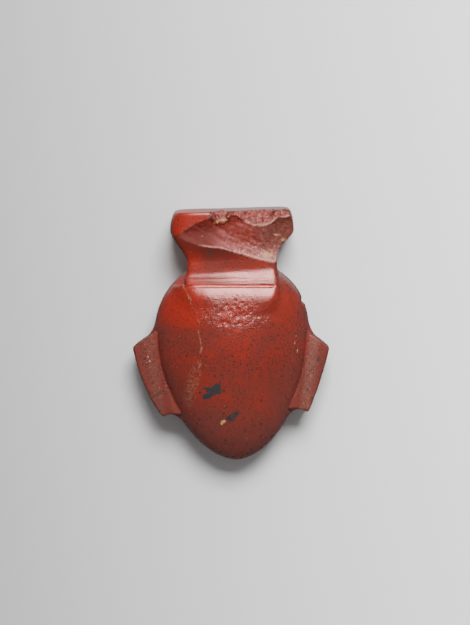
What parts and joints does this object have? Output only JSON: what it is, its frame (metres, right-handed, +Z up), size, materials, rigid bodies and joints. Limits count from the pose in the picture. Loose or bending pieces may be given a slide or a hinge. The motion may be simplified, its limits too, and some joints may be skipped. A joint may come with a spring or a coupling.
{
  "type": "heart amulet",
  "caption": "Carved red jasper amulet in the shape of a heart with side lugs, a square neck and a flaring rim whose front is broken away.",
  "frame": {"origin": "middle of the box's underside, on the surface that the amulet lies on", "axes": "+Z up, out of the carved front; +Y from the tip of the heart towards the rim; +X to the right of the front view"},
  "size_m": [0.031, 0.04, 0.0146],
  "materials": {
    "red_jasper": "satin"
  },
  "bodies": {
    "root": {"heart_amulet": "red_jasper"}
  },
  "joints": []
}
